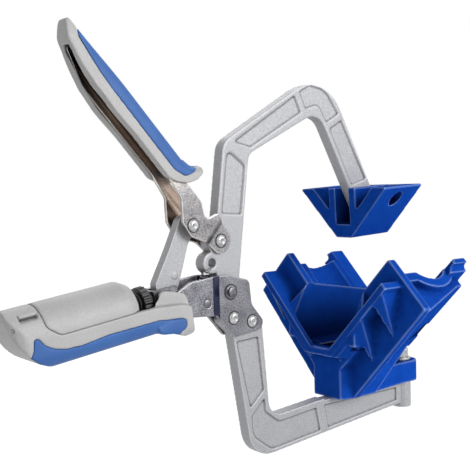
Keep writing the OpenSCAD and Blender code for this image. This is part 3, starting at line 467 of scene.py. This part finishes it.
# Dark rings round the lever's pins: painted shadow.
for spot in lever_pins:
    tone = place.from_pin(spot).over(0.0046, 0.0040).tint(tone, lever_pin_shadow)
facing = place.node("ShaderNodeTexCoord", out="Normal").along(across, origin)
inner_face = (aside * facing).over(-0.001, -0.003)
tone = inner_face.tint(tone, reflection_streaks.tint(inside_reflection_dark, inside_reflection_light))
tone = up_lever.over(0.040, 0.060).tint(tone, reflection_streaks.tint(mouth_reflection_dark, mouth_reflection_light))
tone = up_lever.over(0.095, 0.125).tint(tone, reflection_streaks.tint(tip_reflection_dark, tip_reflection_light))
# Paler on the edges: painted highlight.
feed(shader, "Base Color", edge_pointiness(place).over(0.51, 0.57).tint(tone, nickel_edge_highlight))
feed(shader, "Roughness", 0.2 + speck * 0.2)
shader.inputs["Metallic"].default_value = 0.95
dent(shader, speck + smear, 0.00006)


def up_and_out(spot):
    """A place on the lever: how far up it lies, and how far to the open side."""
    return (spot - lever_pivot).dot(lever_way), (spot - lever_pivot).dot(lever_out)


def eased(value, low, high):
    part = min(max((value - low) / (high - low), 0.0), 1.0)
    return part * part * (3.0 - 2.0 * part)


def narrowed(piece):
    """Draws a piece of the lever in towards the tip, where the lever comes to a soft point."""
    draw, draw_from, draw_to = 0.42, 0.104, 0.152
    for corner in piece.data.vertices:
        up_by, _ = up_and_out(corner.co)
        corner.co.y *= 1.0 - draw * eased(up_by, draw_from, draw_to)


narrowed(moulded("lever", "lever_body", 0.00045, 2, nickel))
set_in(with_mesh_of(rivet_mesh, "lever_rivet"), lever_pins[0], "lever_pin", "lever_body")
link_half = 0.0095
set_in(riveted("link_rivet", rivet_shank, link_half, peened), lever_pins[1], "link_pin", "lever_body")

# The lever's grip: a hard shell of grey nylon with a fine spark-eroded texture, clipped round the
# channel, and an inlay of softer blue elastomer that is moulded over it, dull and a little pebbled.
grey_shell, shader, place = finish("grey_shell")
grey_dark, grey_light, grey_crease_shade = (0.43, 0.425, 0.425), (0.53, 0.525, 0.525), (0.22, 0.22, 0.225)
skin = place.noise(1900.0, 3.0)
mottle = place.noise(40.0, 2.0).over(0.3, 0.7) * 0.4 + place.noise(1000.0, 4.0).over(0.34, 0.66) * 0.6
tone = mottle.tint(grey_dark, grey_light)
# Darker in the inner corners: painted shade.
feed(shader, "Base Color", edge_pointiness(place).over(0.49, 0.45).tint(tone, grey_crease_shade))
feed(shader, "Roughness", 0.4 + skin * 0.2)
dent(shader, skin, 0.0001)

soft_blue, shader, place = finish("soft_blue")
inlay_dark, inlay_light = (0.030, 0.115, 0.37), (0.042, 0.145, 0.43)
skin = place.noise(1500.0, 3.0)
feed(shader, "Base Color", place.noise(50.0, 2.0).over(0.3, 0.7).tint(inlay_dark, inlay_light))
feed(shader, "Roughness", 0.48 + skin * 0.18)
dent(shader, skin, 0.00014)


def round_backed(piece):
    """Carries the rounding of the grip's back on round the hook at its lower end."""
    hook_top, flat_half, back_round = 0.0545, 0.004, 0.008
    for corner in piece.data.vertices:
        up_by, out_by = up_and_out(corner.co)
        if up_by < hook_top:
            back = 0.0124 + 0.0020 * eased(-up_by, -hook_top, -0.046)
            back += 0.0056 * eased(-up_by, -0.047, -0.041)
            below = min(max(-out_by - (back - back_round), 0.0), 0.0079)
            widest = flat_half + math.sqrt(back_round ** 2 - below ** 2)
            corner.co.y = min(max(corner.co.y, -widest), widest)


def rolled_rim(piece):
    """Rolls the rim in over the channel's edges and closes it in a point below the tip."""
    rim_half, point, taper = 0.0063, 0.1425, 0.036
    wall_inside, wall_outside = 0.0096, 0.0102
    swell, swell_at, swell_length = 0.0015, 0.119, 0.011
    for corner in piece.data.vertices:
        up_by, out_by = up_and_out(corner.co)
        mouth = 0.0034 + 0.0016 * eased(up_by, 0.084, 0.119) - 0.0048 * eased(up_by, 0.119, 0.137)
        mouth -= 0.0036 * eased(up_by, 0.137, 0.148)
        gap = rim_half * math.sqrt(min(max((point - up_by) / taper, 0.0), 1.0))
        inner = eased(out_by, mouth - 0.0022, mouth - 0.0010) * eased(up_by, 0.048, 0.058)
        off = abs(corner.co.y)
        if off < wall_outside and inner > 0.0 and up_by < point + 0.0007:
            reach = gap + (off - gap) * max(1.0 - inner, eased(off, wall_inside, wall_outside))
            corner.co.y = math.copysign(min(reach, off), corner.co.y)
        bulge = swell * math.exp(-((up_by - swell_at) / swell_length) ** 2)
        corner.co -= lever_out * (bulge * eased(out_by, -0.004, 0.002))


def softened(piece, low, high, passes):
    """Smooths a piece of the lever between two heights, fully at the second one."""
    group = piece.vertex_groups.new(name="soft_part")
    for corner in piece.data.vertices:
        group.add([corner.index], eased(up_and_out(corner.co)[0], low, high), "REPLACE")
    bpy.context.view_layer.objects.active = piece
    soft = piece.modifiers.new("soft", "SMOOTH")
    soft.vertex_group = group.name
    soft.factor = 0.5
    soft.iterations = passes
    bpy.ops.object.modifier_apply(modifier="soft")
    piece.vertex_groups.clear()


upper_cell, grip_passes = 0.0005, 12
upper_shell = moulded("lever_grip", "lever_body", upper_cell, grip_passes, grey_shell)
round_backed(upper_shell)
rolled_rim(upper_shell)
narrowed(upper_shell)
softened(upper_shell, 0.125, 0.140, 50)
upper_inlay = moulded("lever_inlay", "lever_body", upper_cell, grip_passes, soft_blue)
round_backed(upper_inlay)
narrowed(upper_inlay)

# The lower grip: a grey nylon shell on the rear of the plates, a blue inlay under the fingers
# and a round cover over the barrel, moulded in the same two materials as the lever's grip.
lower_cell = 0.00055
moulded("lower_grip", "frame", lower_cell, grip_passes, grey_shell)
moulded("lower_inlay", "frame", lower_cell, grip_passes, soft_blue)
moulded("barrel_cover", "frame", lower_cell, grip_passes, grey_shell)

# The lower grip's release: a grey nylon tab in a window on each side of the rear block, a black
# piece in the window for painted shade, and the head of the pin that the tab turns on.
# The heads are pressed in flush.
tilt = math.radians(8.0)
handle_way = Vector((math.cos(tilt), 0.0, math.sin(tilt)))
handle_up = Vector((-math.sin(tilt), 0.0, math.cos(tilt)))
foot = Vector((-0.162, 0.0, 0.0545))
black, shader, place = finish("black_nylon")
black_dark, black_light = (0.010, 0.010, 0.011), (0.028, 0.028, 0.030)
black_edge_highlight = (0.10, 0.10, 0.105)
dust = place.noise(900.0, 3.0)
tone = dust.over(0.3, 0.7).tint(black_dark, black_light)
# Paler on the edges: painted highlight.
feed(shader, "Base Color", edge_pointiness(place).over(0.52, 0.6).tint(tone, black_edge_highlight))
feed(shader, "Roughness", 0.32 + dust * 0.2)
dent(shader, dust, 0.00006)


def on_handle(way, aside_by, rise):
    return foot + handle_way * way + across * aside_by + handle_up * rise


def on_both_sides(name, outward, rim, rise, material):
    """Finishes the small piece just added on the near side, and copies it to the far side.

    A rim is set round its outer face, what is inside is raised, and the edges are broken."""
    piece = bpy.context.object
    piece.name = name + "_1"
    bpy.ops.object.transform_apply(location=True, rotation=True, scale=True)
    bpy.ops.object.mode_set(mode="EDIT")
    bpy.ops.mesh.select_mode(type="FACE")
    bpy.ops.mesh.select_all(action="DESELECT")
    bpy.ops.object.mode_set(mode="OBJECT")
    for face in piece.data.polygons:
        face.select = face.normal.dot(outward) > 0.95
    bpy.ops.object.mode_set(mode="EDIT")
    bpy.ops.mesh.inset(thickness=rim)
    bpy.ops.mesh.extrude_region_move(TRANSFORM_OT_translate={"value": outward * rise})
    bpy.ops.object.mode_set(mode="OBJECT")
    broken = piece.modifiers.new("broken", "BEVEL")
    broken.width = 0.00012
    broken.segments = 2
    broken.limit_method = "ANGLE"
    bpy.ops.object.modifier_apply(modifier="broken")
    bpy.ops.object.shade_smooth_by_angle(angle=math.radians(32.0))
    piece.data.materials.append(material)
    twin = with_mesh_of(piece.data, name + "_2")
    twin.data.transform(Matrix.Diagonal((1.0, -1.0, 1.0, 1.0)))
    twin.data.flip_normals()
    for side in (piece, twin):
        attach(side, "frame")


for name, spot, box, material, slot in (
    ("release_tab", (-0.0855, -0.0097, 0.0125), (0.0094, 0.0018, 0.0015), grey_shell, "grey_plastic"),
    # A black liner in the window's gap: painted shade.
    ("tab_shade_liner", (-0.0855, -0.0092, 0.0109), (0.0096, 0.0008, 0.0018), black, "black_plastic"),
):
    bpy.ops.object.select_all(action="DESELECT")
    bpy.ops.mesh.primitive_cube_add(
        size=1.0, location=on_handle(*spot), rotation=(0.0, -tilt, 0.0), scale=box)
    on_both_sides(name, -across, 0.0002, 0.0002, material)
pin_way = (across * -0.65 - handle_way * 0.76).normalized()
bpy.ops.object.select_all(action="DESELECT")
bpy.ops.mesh.primitive_cylinder_add(
    vertices=32, radius=0.0019, depth=0.0014, location=on_handle(-0.0949, -0.0121, 0.007),
    rotation=pin_way.to_track_quat("Z", "Y").to_euler())
on_both_sides("release_pin", pin_way, 0.0004, -0.0002, grey_shell)

# The toggle link: a strut cast in the same metal as the arms, pinned to the lever above
# and to the plunger's fork below by a plain steel pin.
moulded("toggle_link", "link_body", 0.0004, 3, cast_metal)
moulded("foot_pin", "link_body", turned_cell, 2, bright)

# The plunger with its fork, its guide and the jam plates: dark oiled steel, turned and milled.
# They lie inside the barrel, where the plates jam on the rod and so set the stroke.
oiled, shader, place = finish("oiled_steel")
oiled_dark, oiled_light = (0.11, 0.11, 0.118), (0.28, 0.28, 0.295)
oil = place.noise(300.0, 3.0)
feed(shader, "Base Color", oil.over(0.3, 0.7).tint(oiled_dark, oiled_light))
feed(shader, "Roughness", 0.28 + oil * 0.2)
shader.inputs["Metallic"].default_value = 0.9
for node in ("plunger", "guide_bush", "jam_plates"):
    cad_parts[node].data.materials.clear()
    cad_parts[node].data.materials.append(oiled)

# The pressure wheel: black nylon, moulded with notches for the thumb.
# It turns freely on the rod in front of the main spring.
moulded("pressure_wheel", "wheel_body", 0.0003, 2, black)


# The main spring: black oiled wire, coiled round the rod between the wheel and the guide.
def wound(name, points, radius, material):
    """A wire bent along points, as a closed round tube."""
    bpy.ops.object.select_all(action="DESELECT")
    bpy.ops.curve.primitive_nurbs_path_add()
    wire = bpy.context.object
    wire.name = name
    wire.data.splines.clear()
    bend = wire.data.splines.new("NURBS")
    bend.points.add(len(points) - 1)
    for knot, point in zip(bend.points, points):
        knot.co = (*point, 1.0)
    bend.use_endpoint_u = True
    bend.order_u = 3
    bend.resolution_u = 2
    wire.data.dimensions = "3D"
    wire.data.bevel_depth = radius
    wire.data.bevel_resolution = 3
    wire.data.use_fill_caps = True
    bpy.ops.object.convert(target="MESH")
    wire = bpy.context.object
    bpy.ops.object.mode_set(mode="EDIT")
    bpy.ops.mesh.select_all(action="SELECT")
    bpy.ops.mesh.remove_doubles(threshold=1e-6)
    bpy.ops.mesh.normals_make_consistent(inside=False)
    bpy.ops.object.mode_set(mode="OBJECT")
    bpy.ops.object.shade_smooth_by_angle(angle=math.radians(40.0))
    wire.data.materials.clear()
    wire.data.materials.append(material)
    return wire


turns, knots, coil_radius = 11, 18, 0.0059
coil_rear, coil_front = -0.0400, -0.0166
coil = []
for step in range(turns * knots + 1):
    angle = math.radians(360.0 / knots * step)
    way = coil_rear + (coil_front - coil_rear) * step / (turns * knots)
    coil.append(on_handle(way, coil_radius * math.sin(angle), coil_radius * math.cos(angle)))
spring = wound("black_spring", coil, 0.0006, black)
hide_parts("main_spring")
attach(spring, "frame")
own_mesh(spring)

# The return spring: oiled wire, hooked through the arm's eye, with its coil between the plates
# and its lower loop on the anchor pin, whose ends are ground flush. It opens the arm.
eye = Vector((-0.1283, 0.0, 0.072))
anchor = Vector((-0.136, 0.0, 0.049))
ground_flush = ((0.0022, 0.0002), (0.0010, 0.0001))
pin = riveted("anchor_pin", rivet_shank, 0.0092, ground_flush)
pin.data.materials[0] = oiled
set_in(pin, (anchor.x, anchor.z), "spring_anchor", "frame")
down = (anchor - eye).normalized()
behind = Vector((-down.z, 0.0, down.x))
length = (anchor - eye).length
# each point of the wire: how far down, across and behind the line from eye to anchor it lies
route = [
    (0.0076, -0.0056, -0.0060), (0.0055, -0.0060, -0.0030), (0.0030, -0.0062, -0.0008),
    (0.0015, -0.0054, 0.0), (0.0013, 0.0, 0.0), (0.0015, 0.0054, 0.0),
    (0.0034, 0.0060, 0.0003), (0.0068, 0.0055, 0.0008), (0.0080, 0.0030, 0.0018)]
turns, knots, coil_radius, loop_radius = 6, 14, 0.0024, 0.0029
coil_top, coil_length = 0.0085, length - 0.0135
for step in range(turns * knots + 1):
    angle = math.radians(360.0 / knots * step)
    fall = coil_top + coil_length * step / (turns * knots)
    route.append((fall, coil_radius * math.sin(angle), coil_radius * math.cos(angle)))
for degrees in range(90, -181, -30):
    angle = math.radians(degrees)
    route.append((length - 0.9 * loop_radius * math.sin(angle), 0.0, loop_radius * math.cos(angle)))
bends = [eye + down * fall + across * aside_by + behind * back for fall, aside_by, back in route]
hooked = wound("return_wire", bends, 0.0005, oiled)
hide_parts("return_spring")
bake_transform(hooked)
